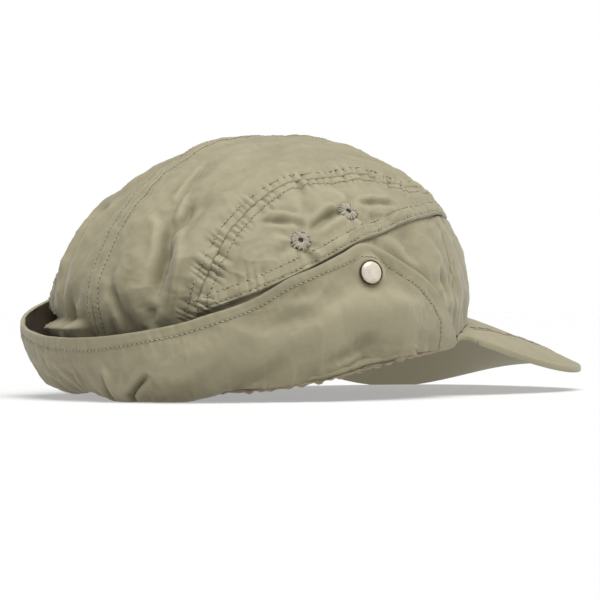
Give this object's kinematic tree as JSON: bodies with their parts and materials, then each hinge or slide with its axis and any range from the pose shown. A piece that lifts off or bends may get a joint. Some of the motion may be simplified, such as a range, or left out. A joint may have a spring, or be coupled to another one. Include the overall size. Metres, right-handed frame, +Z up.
{
  "type": "legionnaire cap with its neck flap turned up and snapped to the sides",
  "caption": "Soft cloth sun cap with an arched peak, seamed crown with stitched eyelets, and a wide neck flap turned up round the back and held by one snap at each side.",
  "frame": {"origin": "in the middle under the cap, on the surface that it rests on", "axes": "+X towards the tip of the peak, +Y towards the wearer's left, +Z up"},
  "size_m": [0.292, 0.182, 0.1204],
  "materials": {
    "crown_cloth": "plain-weave olive khaki cloth, matt with a slight sheen",
    "flap_cloth": "plain-weave olive khaki cloth, matt with a slight sheen",
    "peak_cloth": "plain-weave olive khaki cloth over a thin stiff insert",
    "sweatband_cloth": "brown cotton tape",
    "eyelet_thread": "polyester embroidery thread",
    "snap": "pearly cream snap cap"
  },
  "bodies": {
    "root": {"crown_top_left": "crown_cloth", "side_panel_left": "crown_cloth", "lower_band_left": "crown_cloth", "eyelet_left_rear": "eyelet_thread", "eyelet_left_front": "eyelet_thread", "snap_cap_left": "snap", "crown_top_right": "crown_cloth", "side_panel_right": "crown_cloth", "lower_band_right": "crown_cloth", "eyelet_right_rear": "eyelet_thread", "eyelet_right_front": "eyelet_thread", "snap_cap_right": "snap", "front_panel": "crown_cloth", "peak": "peak_cloth", "neck_flap": "flap_cloth", "sweatband": "sweatband_cloth"}
  },
  "joints": []
}
